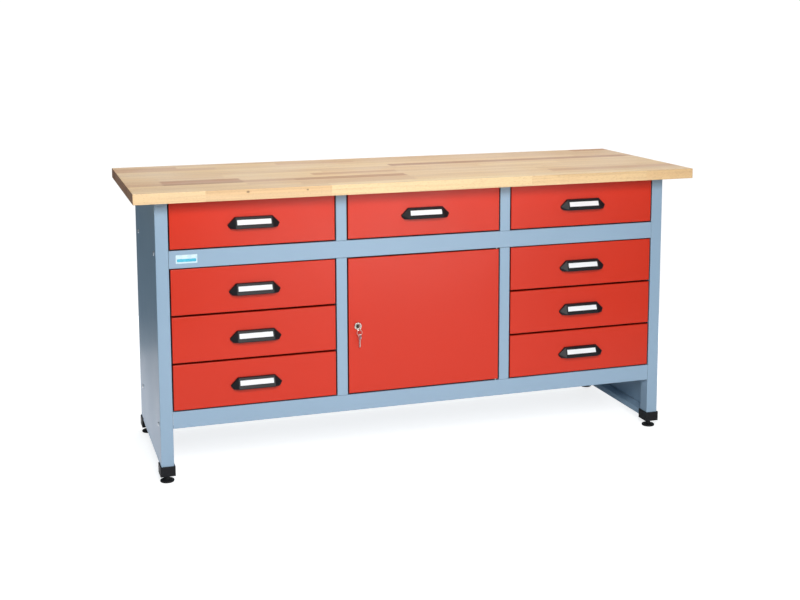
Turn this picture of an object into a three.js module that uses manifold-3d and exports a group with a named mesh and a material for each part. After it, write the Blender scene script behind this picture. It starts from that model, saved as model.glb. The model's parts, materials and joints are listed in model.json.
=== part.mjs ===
// A sheet-steel workbench with a beech top, nine drawers and a lockable cupboard.
// Millimetres. +X runs to the user's right, +Y to the back, +Z up.
// The origin is on the floor, under the middle of the worktop.

import * as THREE from "three";
import { ConvexGeometry } from "three/addons/geometries/ConvexGeometry.js";
import { mergeVertices } from "three/addons/utils/BufferGeometryUtils.js";
import Module from "manifold-3d";

const wasm = await Module();
wasm.setup();

// ---- Driving dimensions ----

const SHEET = 1.5; // steel of the carcass, the fronts and the door
const TRAY_SHEET = 1.2; // steel of the drawer trays
const FIT = 0.3; // gap between pieces that touch
const CUT = 1; // how far a cutting solid passes through the piece that it cuts
const BEND = { radius: 2, steps: 4 }; // outer radius of each fold, and the flats along its arc

const TOP = { length: 1700, depth: 600, thick: 30, height: 840 };
const CARCASS = { halfWidth: 786, front: -230, back: 260, top: TOP.height - TOP.thick };

// Each leg is a folded box, open in its corner behind the lip.
const LEG = { width: 36, depth: 43, lip: 12, bottom: 24.3 };
const SIDE_PANEL_BOTTOM = 45;
// The fold along the bottom of each side panel: it turns inwards, and then down.
const SILL = { inset: 4, drop: 15, rise: 20 };

const DIVIDER = { centre: 255, width: 32 };
const RAIL_DEPTH = 30;
const MID_RAIL = { bottom: 616.5, top: 667 };
const BOTTOM_RAIL = { bottom: 158, top: 207 };
const REAR_RAIL = { depth: 4, height: 40 };
const BACK_PANEL = { front: 255, bottom: 177 };
const SHELF = { bottom: 380, top: 405, frontRoom: 12, backRoom: 2 };

// Drawers: the fronts fill the openings, and the trays hang on runners in the guides.
const FRONT_DEPTH = 18;
const SIDE_GAP = 3.5;
const TOP_FRONT = { bottom: 670.5, height: 135 };
const LOWER_FRONT = { bottom: 210, height: 131, gap: 5.5, count: 3 };
const TRAY = { sideRoom: 13, length: 430, lift: 7, headroom: 22 };
const RUNNER = { width: 9.5, height: 10, lift: 48 };
const GUIDE = { depth: 12, slot: 12, back: 208 };

const HANDLE = {
  faceHalf: 52,
  tipHalf: 74,
  cornerHalf: 67,
  top: 16,
  tip: -5,
  bottom: -16,
  topReach: 7,
  bottomReach: 19,
  tipReach: 4,
  tipHeight: 5,
  cornerReach: 9,
  edge: 1,
  lip: 2,
  wall: 2.5,
  drop: 1,
};
const LABEL_WINDOW = { width: 100, height: 20, depth: 1.2, rise: 3 };

const DOOR = { depth: 20, bottom: 210.5, top: 613, pinInset: 6 };
const PIN = { radius: 3, headRadius: 4.1, headHeight: 2, reach: 9 };

// The lock's front parts stand on the door's face; rear is where its plug ends, in y.
const LOCK = {
  edgeInset: 28,
  z: 411,
  flange: 11,
  flangeThick: 2,
  faceProud: 2.3,
  barrel: 8.5,
  bore: 5.6,
  plug: 5.2,
  keywayDepth: 18,
  rear: -206,
};
const NUT = { radius: 13, thick: 5, sides: 6 };
const CAM = { width: 12, reach: 36, thick: 2 };
const STRIKE = { below: 8, above: 26, front: -2, back: 8 };
const KEY = {
  thick: 2,
  bowRadius: 11,
  bowGap: 3,
  barWidth: 2.5,
  slotWidth: 6,
  slotTop: 1,
  bladeHeight: 6.4,
  bladeDepth: 16,
  root: 2,
  tilt: 20,
};
const RING = { centreRadius: 7.65, wireRadius: 0.65, drop: 14.95 };
const SPARE = { bowRadius: 9, top: 18.95, bladeLength: 22 };

const CAP = { wall: 2.2, ear: 3.2, bottom: 21, floor: 3, top: 50 };
const GLIDE = {
  disc: 20,
  sole: 18,
  edgeBottom: 2,
  edgeTop: 4,
  shoulder: 15,
  shoulderTop: 7,
  discTop: 8,
  neck: 7,
  neckTop: 15.5,
  stem: 4,
  stemTop: 60,
};

// ---- Places worked out from the driving dimensions ----

const BAR_BACK = CARCASS.front + RAIL_DEPTH;
const LEG_INNER = CARCASS.halfWidth - LEG.width;
const GUIDE_WALL_FACE = LEG_INNER - FIT - SHEET;
const DIVIDER_OUTER = DIVIDER.centre + DIVIDER.width / 2;
const DIVIDER_INNER = DIVIDER.centre - DIVIDER.width / 2;
const FLOOR_TOP = BOTTOM_RAIL.top;
const WALL_BACK = BACK_PANEL.front - FIT;
const DOOR_HALF = DIVIDER_INNER - SIDE_GAP;
const PIN_AT = { x: DOOR_HALF - DOOR.pinInset, y: CARCASS.front + DOOR.pinInset };
const LOCK_X = -DOOR_HALF + LOCK.edgeInset;
const LOCK_FACE = CARCASS.front - FIT - LOCK.faceProud;
const BOW_Y = LOCK_FACE - KEY.bowGap - KEY.bowRadius;
const FOOT_X = CARCASS.halfWidth - LEG.width / 2;
const FRONT_FOOT_Y = CARCASS.front + LEG.depth / 2;
const BACK_FOOT_Y = CARCASS.back - LEG.depth / 2;

// Each bay has the opening that its fronts fill and the walls that its guides stand on.
const BAYS = {
  left: {
    opening: [-LEG_INNER, -DIVIDER_OUTER],
    walls: [-GUIDE_WALL_FACE, -DIVIDER_OUTER],
  },
  centre: {
    opening: [-DIVIDER_INNER, DIVIDER_INNER],
    walls: [-DIVIDER_INNER, DIVIDER_INNER],
  },
  right: {
    opening: [DIVIDER_OUTER, LEG_INNER],
    walls: [DIVIDER_OUTER, GUIDE_WALL_FACE],
  },
};

// The bottom edge and the height of each front, from the top drawer down.
const COLUMN = [TOP_FRONT];
for (let i = LOWER_FRONT.count - 1; i >= 0; i -= 1) {
  const bottom = LOWER_FRONT.bottom + i * (LOWER_FRONT.height + LOWER_FRONT.gap);
  COLUMN.push({ bottom, height: LOWER_FRONT.height });
}

// ---- Materials ----

function finish(color, roughness, metalness = 0) {
  return new THREE.MeshStandardMaterial({ color, roughness, metalness });
}

const MATERIALS = {
  beech: finish(0xdcbd98, 0.55),
  frame: finish(0xa0b9d0, 0.45),
  red: finish(0xdb3a2a, 0.4),
  galvanised: finish(0xb4b8bc, 0.4, 0.8),
  plastic: finish(0x2c2b30, 0.55),
  rubber: finish(0x1b1b1d, 0.8),
  nickel: finish(0xc8c6c0, 0.25, 1),
};

// ---- Solids ----

function solidOf(geometry) {
  const bare = geometry.clone();
  bare.deleteAttribute("normal");
  bare.deleteAttribute("uv");
  const merged = mergeVertices(bare, 1e-4);
  const mesh = new wasm.Mesh({
    numProp: 3,
    vertProperties: new Float32Array(merged.attributes.position.array),
    triVerts: new Uint32Array(merged.index.array),
  });
  return new wasm.Manifold(mesh);
}

function geometryOf(solid) {
  const mesh = solid.getMesh();
  const geometry = new THREE.BufferGeometry();
  geometry.setAttribute("position", new THREE.Float32BufferAttribute(mesh.vertProperties, 3));
  geometry.setIndex(Array.from(mesh.triVerts));
  geometry.computeVertexNormals();
  return geometry;
}

// A box between two values on each axis, whichever order they come in.
function box([x0, x1], [y0, y1], [z0, z1]) {
  const size = [x1 - x0, y1 - y0, z1 - z0].map(Math.abs);
  const shape = new THREE.BoxGeometry(...size);
  return shape.translate((x0 + x1) / 2, (y0 + y1) / 2, (z0 + z1) / 2);
}

function boxSolid(x, y, z) {
  return solidOf(box(x, y, z));
}

function toPoints(path) {
  return path.map(([u, v]) => new THREE.Vector2(u, v));
}

// The same points with each corner between the two ends turned into an arc. A corner's radius
// is the first one where the path turns left, and the second one where it turns right.
function rounded(points, leftRadius, rightRadius) {
  return points.flatMap((corner, i) => {
    if (i === 0 || i === points.length - 1) {
      return [corner];
    }
    const before = corner.clone().sub(points[i - 1]).normalize();
    const after = points[i + 1].clone().sub(corner).normalize();
    const turn = Math.atan2(before.cross(after), before.dot(after));
    const radius = turn > 0 ? leftRadius : rightRadius;
    const start = corner.clone().addScaledVector(before, -radius * Math.tan(Math.abs(turn) / 2));
    const inwards = new THREE.Vector2(-before.y, before.x).multiplyScalar(Math.sign(turn));
    const centre = start.clone().addScaledVector(inwards, radius);
    return Array.from({ length: BEND.steps + 1 }, (_, k) =>
      start.clone().rotateAround(centre, (turn * k) / BEND.steps),
    );
  });
}

// The closed outline of a sheet folded along a path, with round folds. The sheet lies on the
// right of the path.
function foldedOutline(path) {
  const near = toPoints(path);
  const directions = near.slice(1).map((p, i) => p.clone().sub(near[i]).normalize());
  const far = near.map((p, i) => {
    const before = directions[Math.max(i - 1, 0)];
    const after = directions[Math.min(i, directions.length - 1)];
    const right = new THREE.Vector2(before.y + after.y, -before.x - after.x).normalize();
    const mitre = SHEET / (right.x * after.y - right.y * after.x);
    return p.clone().addScaledVector(right, mitre);
  });
  const inside = BEND.radius - SHEET;
  const nearSide = rounded(near, inside, BEND.radius);
  const farSide = rounded(far, BEND.radius, inside);
  return new THREE.Shape([...nearSide, ...farSide.reverse()]);
}

// An outline drawn in (x, y) and raised between two heights.
function raise(shape, [z0, z1]) {
  const geometry = new THREE.ExtrudeGeometry(shape, { depth: z1 - z0, bevelEnabled: false });
  return geometry.translate(0, 0, z0);
}

// An outline drawn in (y, z) and drawn out along X.
function drawAlongX(shape, [x0, x1], curveSegments = 12) {
  const options = { depth: x1 - x0, bevelEnabled: false, curveSegments };
  const geometry = new THREE.ExtrudeGeometry(shape, options);
  const basis = new THREE.Matrix4().makeBasis(
    new THREE.Vector3(0, 1, 0),
    new THREE.Vector3(0, 0, 1),
    new THREE.Vector3(1, 0, 0),
  );
  return geometry.applyMatrix4(basis).translate(x0, 0, 0);
}

// An outline drawn in (x, z) and drawn out along Y.
function drawAlongY(shape, [y0, y1], curveSegments = 12) {
  const options = { depth: y1 - y0, bevelEnabled: false, curveSegments };
  const geometry = new THREE.ExtrudeGeometry(shape, options);
  return geometry.rotateX(Math.PI / 2).translate(0, y1, 0);
}

function rodAlongZ(radius, [z0, z1], segments = 24) {
  const geometry = new THREE.CylinderGeometry(radius, radius, z1 - z0, segments);
  return geometry.rotateX(Math.PI / 2).translate(0, 0, (z0 + z1) / 2);
}

function rodAlongY(radius, [y0, y1], segments = 24) {
  const geometry = new THREE.CylinderGeometry(radius, radius, y1 - y0, segments);
  return geometry.translate(0, (y0 + y1) / 2, 0);
}

const bench = new THREE.Group();

function add(name, shape, material) {
  const geometry = shape instanceof THREE.BufferGeometry ? shape : geometryOf(shape);
  const mesh = new THREE.Mesh(geometry, material);
  mesh.name = name;
  bench.add(mesh);
  return mesh;
}

// Turns a solid of the left-hand side into its right-hand twin.
function mirrored(solid) {
  return solid.mirror([1, 0, 0]);
}

// ---- Worktop and carcass ----

function worktop() {
  const x = [-TOP.length / 2, TOP.length / 2];
  const y = [-TOP.depth / 2, TOP.depth / 2];
  return box(x, y, [CARCASS.top, TOP.height]);
}

// The left side: one sheet folded into a panel with a box leg at each end and a sill below.
function side() {
  const outer = -CARCASS.halfWidth;
  const inner = -LEG_INNER;
  const lip = inner - LEG.lip;
  const frontReturn = CARCASS.front + LEG.depth;
  const backReturn = CARCASS.back - LEG.depth;
  const path = [
    [lip, frontReturn],
    [inner, frontReturn],
    [inner, CARCASS.front],
    [outer, CARCASS.front],
    [outer, CARCASS.back],
    [inner, CARCASS.back],
    [inner, backReturn],
    [lip, backReturn],
  ];
  const sheet = solidOf(raise(foldedOutline(path), [LEG.bottom, CARCASS.top - FIT]));
  const underPanel = boxSolid(
    [outer - CUT, outer + SHEET + CUT],
    [frontReturn, backReturn],
    [LEG.bottom - CUT, SIDE_PANEL_BOTTOM],
  );
  const sillLength = [frontReturn + SILL.inset, backReturn - SILL.inset];
  const sillPath = [
    [inner - SHEET, SIDE_PANEL_BOTTOM - SILL.drop],
    [inner - SHEET, SIDE_PANEL_BOTTOM],
    [outer, SIDE_PANEL_BOTTOM],
    [outer, SIDE_PANEL_BOTTOM + SILL.rise + CUT],
  ];
  const sill = solidOf(drawAlongY(foldedOutline(sillPath), sillLength));
  const behindSill = boxSolid(
    [outer - CUT, outer + SHEET + CUT],
    sillLength,
    [SIDE_PANEL_BOTTOM - CUT, SIDE_PANEL_BOTTOM + SILL.rise],
  );
  return sheet.subtract(underPanel).subtract(behindSill).add(sill);
}

// A channel along X with its open side to the back.
function channel(front, back, [z0, z1], halfLength) {
  const path = [
    [back, z0],
    [front, z0],
    [front, z1],
    [back, z1],
  ];
  return solidOf(drawAlongX(foldedOutline(path), [-halfLength, halfLength]));
}

function hingeHole(z) {
  return solidOf(rodAlongZ(PIN.radius + FIT, z)).translate([PIN_AT.x, PIN_AT.y, 0]);
}

function frontRail({ bottom, top }, holeAt) {
  const rail = channel(CARCASS.front, BAR_BACK, [bottom, top], LEG_INNER - FIT);
  return rail.subtract(hingeHole([holeAt - SHEET - CUT, holeAt + SHEET + CUT]));
}

// A flat bar along the top of the back panel.
function rearRail() {
  const half = GUIDE_WALL_FACE - FIT;
  const y = [WALL_BACK - REAR_RAIL.depth, WALL_BACK];
  return box([-half, half], y, [CARCASS.top - FIT - REAR_RAIL.height, CARCASS.top - FIT]);
}

function backPanel() {
  const half = LEG_INNER - FIT;
  const y = [BACK_PANEL.front, BACK_PANEL.front + SHEET];
  return box([-half, half], y, [BACK_PANEL.bottom, CARCASS.top - FIT]);
}

function bottomPanel() {
  const half = LEG_INNER - FIT;
  const path = [
    [BAR_BACK + FIT, FLOOR_TOP],
    [WALL_BACK, FLOOR_TOP],
    [WALL_BACK, BACK_PANEL.bottom],
  ];
  return drawAlongX(foldedOutline(path), [-half, half]);
}

// The two ledges of one drawer guide, on a wall face. They reach to the left or the right of it.
function guide(face, towards, front) {
  const x = [face - towards * SHEET, face + towards * GUIDE.depth];
  const y = [BAR_BACK + FIT, GUIDE.back];
  const low = front.bottom + RUNNER.lift + RUNNER.height / 2 - GUIDE.slot / 2;
  const high = low + GUIDE.slot;
  const lower = boxSolid(x, y, [low - SHEET, low]);
  const upper = boxSolid(x, y, [high, high + SHEET]);
  return lower.add(upper);
}

// The wall behind the left legs, with a guide for each drawer of the column.
function guideWall() {
  const face = -GUIDE_WALL_FACE;
  const wall = boxSolid(
    [face - SHEET, face],
    [BAR_BACK + FIT, WALL_BACK],
    [FLOOR_TOP + FIT, CARCASS.top - FIT],
  );
  return COLUMN.reduce((solid, front) => solid.add(guide(face, 1, front)), wall);
}

// The slot in the left partition that the lock's cam turns into.
function strikeSlot() {
  return boxSolid(
    [-DIVIDER_INNER - SHEET - CUT, -DIVIDER_INNER + CUT],
    [LOCK.rear + STRIKE.front, LOCK.rear + STRIKE.back],
    [LOCK.z - STRIKE.below, LOCK.z + STRIKE.above],
  );
}

// The left partition: a double wall folded around the strip that shows between the fronts.
function partition() {
  const outer = -DIVIDER_OUTER;
  const inner = -DIVIDER_INNER;
  const path = [
    [inner, WALL_BACK],
    [inner, CARCASS.front],
    [outer, CARCASS.front],
    [outer, WALL_BACK],
  ];
  const z = [FLOOR_TOP + FIT, CARCASS.top - FIT];
  const wide = [outer - CUT, inner + CUT];
  const midRail = boxSolid(
    wide,
    [CARCASS.front - CUT, BAR_BACK + FIT],
    [MID_RAIL.bottom - FIT, MID_RAIL.top + FIT],
  );
  const rearRailNotch = boxSolid(
    wide,
    [WALL_BACK - REAR_RAIL.depth - FIT, WALL_BACK + CUT],
    [CARCASS.top - REAR_RAIL.height - 2 * FIT, CARCASS.top],
  );
  let solid = solidOf(raise(foldedOutline(path), z)).subtract(midRail);
  solid = solid.subtract(rearRailNotch);
  for (const front of COLUMN) {
    solid = solid.add(guide(outer, -1, front));
  }
  return solid.add(guide(inner, 1, TOP_FRONT));
}

// A shelf with its edges folded down, bolted between the partitions.
function shelf() {
  const half = DIVIDER_INNER - FIT;
  const y = [BAR_BACK + SHELF.frontRoom, WALL_BACK - SHELF.backRoom];
  const z = [SHELF.bottom, SHELF.top];
  const hollow = boxSolid(
    [-half + SHEET, half - SHEET],
    [y[0] + SHEET, y[1] - SHEET],
    [z[0] - CUT, z[1] - SHEET],
  );
  return boxSolid([-half, half], y, z).subtract(hollow);
}

// ---- Drawers ----

// A front or a door: a sheet with its four edges folded back around the radius of a bend.
function pan([x0, x1], depth, [z0, z1]) {
  const front = CARCASS.front;
  const back = front + depth;
  const plan = [
    [x0, back],
    [x0, front],
    [x1, front],
    [x1, back],
  ];
  const section = [
    [back, z0],
    [front, z0],
    [front, z1],
    [back, z1],
  ];
  const [planShape, sectionShape] = [plan, section].map(
    (path) => new THREE.Shape(rounded(toPoints(path), BEND.radius, BEND.radius)),
  );
  const hollow = boxSolid(
    [x0 + SHEET, x1 - SHEET],
    [front + SHEET, back + CUT],
    [z0 + SHEET, z1 - SHEET],
  );
  return solidOf(raise(planShape, [z0, z1]))
    .intersect(solidOf(drawAlongX(sectionShape, [x0, x1])))
    .subtract(hollow);
}

function drawerFront(bay, front) {
  const x = [bay.opening[0] + SIDE_GAP, bay.opening[1] - SIDE_GAP];
  return pan(x, FRONT_DEPTH, [front.bottom, front.bottom + front.height]);
}

// An open tray with a runner along each side.
function tray(bay, front) {
  const x = [bay.walls[0] + TRAY.sideRoom, bay.walls[1] - TRAY.sideRoom];
  const y0 = CARCASS.front + FRONT_DEPTH + FIT;
  const y = [y0, y0 + TRAY.length];
  const z = [front.bottom + TRAY.lift, front.bottom + front.height - TRAY.headroom];
  const hollow = boxSolid(
    [x[0] + TRAY_SHEET, x[1] - TRAY_SHEET],
    [y[0] + TRAY_SHEET, y[1] - TRAY_SHEET],
    [z[0] + TRAY_SHEET, z[1] + CUT],
  );
  const runnerZ = [front.bottom + RUNNER.lift, front.bottom + RUNNER.lift + RUNNER.height];
  const left = boxSolid([x[0] - RUNNER.width, x[0] + TRAY_SHEET / 2], y, runnerZ);
  const right = boxSolid([x[1] - TRAY_SHEET / 2, x[1] + RUNNER.width], y, runnerZ);
  return boxSolid(x, y, z).subtract(hollow).add(left).add(right);
}

function hull(points) {
  return solidOf(new ConvexGeometry(points.map((p) => new THREE.Vector3(...p))));
}

// Both ends of a piece that is the same on its left and its right.
function bothEnds(points) {
  return points.flatMap(([x, y, z]) => [
    [-x, y, z],
    [x, y, z],
  ]);
}

// A cup handle about its own middle, standing on y = 0. Its face leans out towards the bottom,
// holds a label window, and hides a finger gap that is open below.
function handle() {
  const h = HANDLE;
  const outer = hull(
    bothEnds([
      [h.faceHalf + h.lip, 0, h.top],
      [h.tipHalf, 0, h.tip],
      [h.tipHalf, -h.tipReach, h.tip],
      [h.tipHalf - h.edge, 0, h.tip - h.tipHeight],
      [h.cornerHalf, 0, h.bottom],
      [h.cornerHalf, -h.cornerReach, h.bottom],
      [h.faceHalf, -h.topReach, h.top - h.edge],
      [h.faceHalf + h.edge, -h.bottomReach, h.bottom + h.lip],
      [h.faceHalf - h.edge, -h.bottomReach, h.bottom],
    ]),
  );
  const cavityHalf = h.faceHalf - h.wall;
  const roof = h.top - 2 * h.wall;
  const below = h.bottom - 2 * h.wall;
  const cavity = hull(
    bothEnds([
      [cavityHalf, CUT, roof],
      [cavityHalf, -h.topReach + h.wall, roof],
      [cavityHalf, CUT, below],
      [cavityHalf, -h.bottomReach + h.wall, h.bottom + h.lip + h.edge],
      [cavityHalf, -h.bottomReach + h.wall, below],
    ]),
  );
  return outer.subtract(cavity).subtract(labelWindow());
}

// A shallow pocket in the leaning face of a handle.
function labelWindow() {
  const faceTop = HANDLE.top - HANDLE.edge;
  const faceBottom = HANDLE.bottom + HANDLE.lip;
  const lean = Math.atan2(HANDLE.bottomReach - HANDLE.topReach, faceTop - faceBottom);
  const middleY = -(HANDLE.topReach + HANDLE.bottomReach) / 2;
  const middleZ = (faceTop + faceBottom) / 2;
  const { width, height, depth, rise } = LABEL_WINDOW;
  const pocket = new THREE.BoxGeometry(width, 2 * depth, height);
  pocket.translate(0, 0, rise);
  return solidOf(pocket.rotateX(-lean).translate(0, middleY, middleZ));
}

function addDrawer(bayName, number, front, handleSolid) {
  const bay = BAYS[bayName];
  const label = number ? `${bayName}_${number}` : bayName;
  const middle = (bay.opening[0] + bay.opening[1]) / 2;
  add(`front_${label}`, drawerFront(bay, front), MATERIALS.red);
  add(`tray_${label}`, tray(bay, front), MATERIALS.galvanised);
  const pull = add(`handle_${label}`, handleSolid, MATERIALS.plastic);
  pull.position.set(middle, CARCASS.front - FIT, front.bottom + front.height / 2 - HANDLE.drop);
}

// ---- Cupboard door, hinge pins and lock ----

function door() {
  const leaf = pan([-DOOR_HALF, DOOR_HALF], DOOR.depth, [DOOR.bottom, DOOR.top]);
  const throughFace = [CARCASS.front - CUT, CARCASS.front + SHEET + CUT];
  const lockHole = solidOf(rodAlongY(LOCK.barrel + FIT, throughFace));
  return leaf
    .subtract(hingeHole([DOOR.bottom - CUT, DOOR.bottom + SHEET + CUT]))
    .subtract(hingeHole([DOOR.top - SHEET - CUT, DOOR.top + CUT]))
    .subtract(lockHole.translate([LOCK_X, 0, LOCK.z]));
}

// A headed pin that hangs or stands in a rail's flange and reaches into the door's edge.
function hingePin(flangeFace, towardsDoor) {
  const headBase = flangeFace - towardsDoor * (SHEET + FIT);
  const tip = flangeFace + towardsDoor * PIN.reach;
  const span = [Math.min(headBase, tip), Math.max(headBase, tip)];
  const head = [headBase, headBase - towardsDoor * PIN.headHeight].sort((a, b) => a - b);
  return solidOf(rodAlongZ(PIN.radius, span))
    .add(solidOf(rodAlongZ(PIN.headRadius, head)))
    .translate([PIN_AT.x, PIN_AT.y, 0]);
}

function atLock(solid) {
  return solid.translate([LOCK_X, 0, LOCK.z]);
}

function lockHousing() {
  const seat = CARCASS.front - FIT;
  const flange = solidOf(rodAlongY(LOCK.flange, [seat - LOCK.flangeThick, seat], 32));
  const barrel = solidOf(rodAlongY(LOCK.barrel, [seat - LOCK.flangeThick / 2, LOCK.rear - CUT]));
  const bore = solidOf(rodAlongY(LOCK.bore, [LOCK_FACE - CUT, LOCK.rear + CUT]));
  return atLock(flange.add(barrel).subtract(bore));
}

function lockNut() {
  const seat = CARCASS.front + SHEET + FIT;
  const nut = solidOf(rodAlongY(NUT.radius, [seat, seat + NUT.thick], NUT.sides));
  const bore = solidOf(rodAlongY(LOCK.barrel + FIT, [seat - CUT, seat + NUT.thick + CUT]));
  return atLock(nut.subtract(bore));
}

function lockPlug() {
  const plug = solidOf(rodAlongY(LOCK.plug, [LOCK_FACE, LOCK.rear]));
  const half = { x: KEY.thick / 2 + FIT, z: KEY.bladeHeight / 2 + FIT };
  const y = [LOCK_FACE - CUT, LOCK_FACE + LOCK.keywayDepth];
  const keyway = boxSolid([-half.x, half.x], y, [-half.z, half.z]);
  return atLock(plug.subtract(keyway));
}

// A bar with round ends from the plug's middle to its reach, pointing up while unlocked.
function lockCam() {
  const half = CAM.width / 2;
  const bar = new THREE.Shape();
  bar.moveTo(half, 0);
  bar.lineTo(half, CAM.reach - half);
  bar.absarc(0, CAM.reach - half, half, 0, Math.PI, false);
  bar.lineTo(-half, 0);
  bar.absarc(0, 0, half, Math.PI, 2 * Math.PI, false);
  const y = [LOCK.rear + FIT, LOCK.rear + FIT + CAM.thick];
  return atLock(solidOf(drawAlongY(bar, y, 8)));
}

// A key's flat bow, drawn about its own middle in (y, z), with a slot above its lower bar.
function bow(radius) {
  const disc = solidOf(rodAlongZ(radius, [-KEY.thick / 2, KEY.thick / 2], 28).rotateY(Math.PI / 2));
  const half = KEY.slotWidth / 2;
  const z = [-radius + KEY.barWidth, KEY.slotTop];
  return disc.subtract(boxSolid([-KEY.thick, KEY.thick], [-half, half], z));
}

function key() {
  const half = { x: KEY.thick / 2, z: KEY.bladeHeight / 2 };
  const y = [BOW_Y + KEY.bowRadius - KEY.root, LOCK_FACE + KEY.bladeDepth];
  const blade = boxSolid([-half.x, half.x], y, [-half.z, half.z]);
  return atLock(bow(KEY.bowRadius).translate([0, BOW_Y, 0]).add(blade));
}

function keyRing() {
  const torus = new THREE.TorusGeometry(RING.centreRadius, RING.wireRadius, 8, 32);
  const ring = solidOf(torus.rotateX(Math.PI / 2));
  return atLock(ring.translate([0, BOW_Y, -RING.drop]));
}

// The spare key hangs from the ring by the bar at the top of its bow, turned a little to one side.
function spareKey() {
  const radius = SPARE.bowRadius;
  const hanging = bow(radius).rotate([180, 0, 0]);
  const halfBlade = KEY.bladeHeight / 2;
  const blade = boxSolid(
    [-KEY.thick / 2, KEY.thick / 2],
    [-halfBlade, halfBlade],
    [-radius - SPARE.bladeLength, -radius + KEY.root],
  );
  const whole = hanging.add(blade).rotate([0, 0, KEY.tilt]);
  return atLock(whole.translate([0, BOW_Y, -SPARE.top - radius]));
}

// ---- Feet ----

// The cap under the front left leg. Its side walls stand proud of the leg.
function footCap() {
  const outer = -CARCASS.halfWidth;
  const inner = -LEG_INNER;
  const front = CARCASS.front;
  const back = CARCASS.front + LEG.depth;
  const whole = boxSolid(
    [outer - FIT - CAP.ear, inner + FIT + CAP.ear],
    [front - FIT - CAP.wall, back + FIT + CAP.wall],
    [CAP.bottom, CAP.top],
  );
  const socket = boxSolid(
    [outer - FIT, inner + FIT],
    [front - FIT, back + FIT],
    [CAP.bottom + CAP.floor, CAP.top + CUT],
  );
  const panelSlot = boxSolid(
    [outer - FIT, outer + SHEET + FIT],
    [back - CUT, back + FIT + CAP.wall + CUT],
    [SIDE_PANEL_BOTTOM - FIT, CAP.top + CUT],
  );
  const throughFloor = [CAP.bottom - CUT, CAP.bottom + CAP.floor + CUT];
  const stemHole = solidOf(rodAlongZ(GLIDE.stem + FIT, throughFloor));
  return whole
    .subtract(socket)
    .subtract(panelSlot)
    .subtract(stemHole.translate([-FOOT_X, FRONT_FOOT_Y, 0]));
}

// A levelling glide on its own axis: a dished disc, a neck and a threaded stem.
function glide() {
  const profile = [
    [0, 0],
    [GLIDE.sole, 0],
    [GLIDE.disc, GLIDE.edgeBottom],
    [GLIDE.disc, GLIDE.edgeTop],
    [GLIDE.shoulder, GLIDE.shoulderTop],
    [GLIDE.neck, GLIDE.discTop],
    [GLIDE.neck, GLIDE.neckTop],
    [GLIDE.stem, GLIDE.neckTop],
    [GLIDE.stem, GLIDE.stemTop],
    [0, GLIDE.stemTop],
  ].map(([r, z]) => new THREE.Vector2(r, z));
  return new THREE.LatheGeometry(profile, 28).rotateX(Math.PI / 2);
}

// ---- Assembly ----

add("worktop", worktop(), MATERIALS.beech);
const leftSide = side();
add("side_left", leftSide, MATERIALS.frame);
add("side_right", mirrored(leftSide), MATERIALS.frame);
const leftGuideWall = guideWall();
add("guide_wall_left", leftGuideWall, MATERIALS.frame);
add("guide_wall_right", mirrored(leftGuideWall), MATERIALS.frame);
const leftPartition = partition();
add("partition_left", leftPartition.subtract(strikeSlot()), MATERIALS.frame);
add("partition_right", mirrored(leftPartition), MATERIALS.frame);
add("front_mid_rail", frontRail(MID_RAIL, MID_RAIL.bottom), MATERIALS.frame);
add("front_bottom_rail", frontRail(BOTTOM_RAIL, BOTTOM_RAIL.top), MATERIALS.frame);
add("rear_top_rail", rearRail(), MATERIALS.frame);
add("back_panel", backPanel(), MATERIALS.frame);
add("bottom_panel", bottomPanel(), MATERIALS.frame);
add("cupboard_shelf", shelf(), MATERIALS.galvanised);

const handleSolid = handle();
for (const bayName of ["left", "right"]) {
  COLUMN.forEach((front, i) => addDrawer(bayName, i + 1, front, handleSolid));
}
addDrawer("centre", 0, TOP_FRONT, handleSolid);

add("door_panel", door(), MATERIALS.red);
add("hinge_pin_top", hingePin(MID_RAIL.bottom, -1), MATERIALS.nickel);
add("hinge_pin_bottom", hingePin(BOTTOM_RAIL.top, 1), MATERIALS.nickel);
add("lock_housing", lockHousing(), MATERIALS.nickel);
add("lock_nut", lockNut(), MATERIALS.nickel);
add("lock_plug", lockPlug(), MATERIALS.nickel);
add("lock_cam", lockCam(), MATERIALS.nickel);
add("key", key(), MATERIALS.nickel);
add("key_ring", keyRing(), MATERIALS.nickel);
add("spare_key", spareKey(), MATERIALS.nickel);

const frontLeftCap = footCap();
const backLeftCap = frontLeftCap.mirror([0, 1, 0]).translate([0, FRONT_FOOT_Y + BACK_FOOT_Y, 0]);
add("foot_cap_front_left", frontLeftCap, MATERIALS.plastic);
add("foot_cap_front_right", mirrored(frontLeftCap), MATERIALS.plastic);
add("foot_cap_back_left", backLeftCap, MATERIALS.plastic);
add("foot_cap_back_right", mirrored(backLeftCap), MATERIALS.plastic);
for (const [depthName, y] of Object.entries({ front: FRONT_FOOT_Y, back: BACK_FOOT_Y })) {
  for (const [sideName, x] of Object.entries({ left: -FOOT_X, right: FOOT_X })) {
    add(`glide_${depthName}_${sideName}`, glide(), MATERIALS.rubber).position.set(x, y, 0);
  }
}

export default bench;
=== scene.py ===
"""Looks of the workbench with drawers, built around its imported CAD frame.

Metres. +X runs to the user's right, +Y to the back, +Z up, and the front faces -Y.
"""

import json
import math
import random

import bmesh
import bpy
from mathutils import Matrix, Vector


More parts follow.
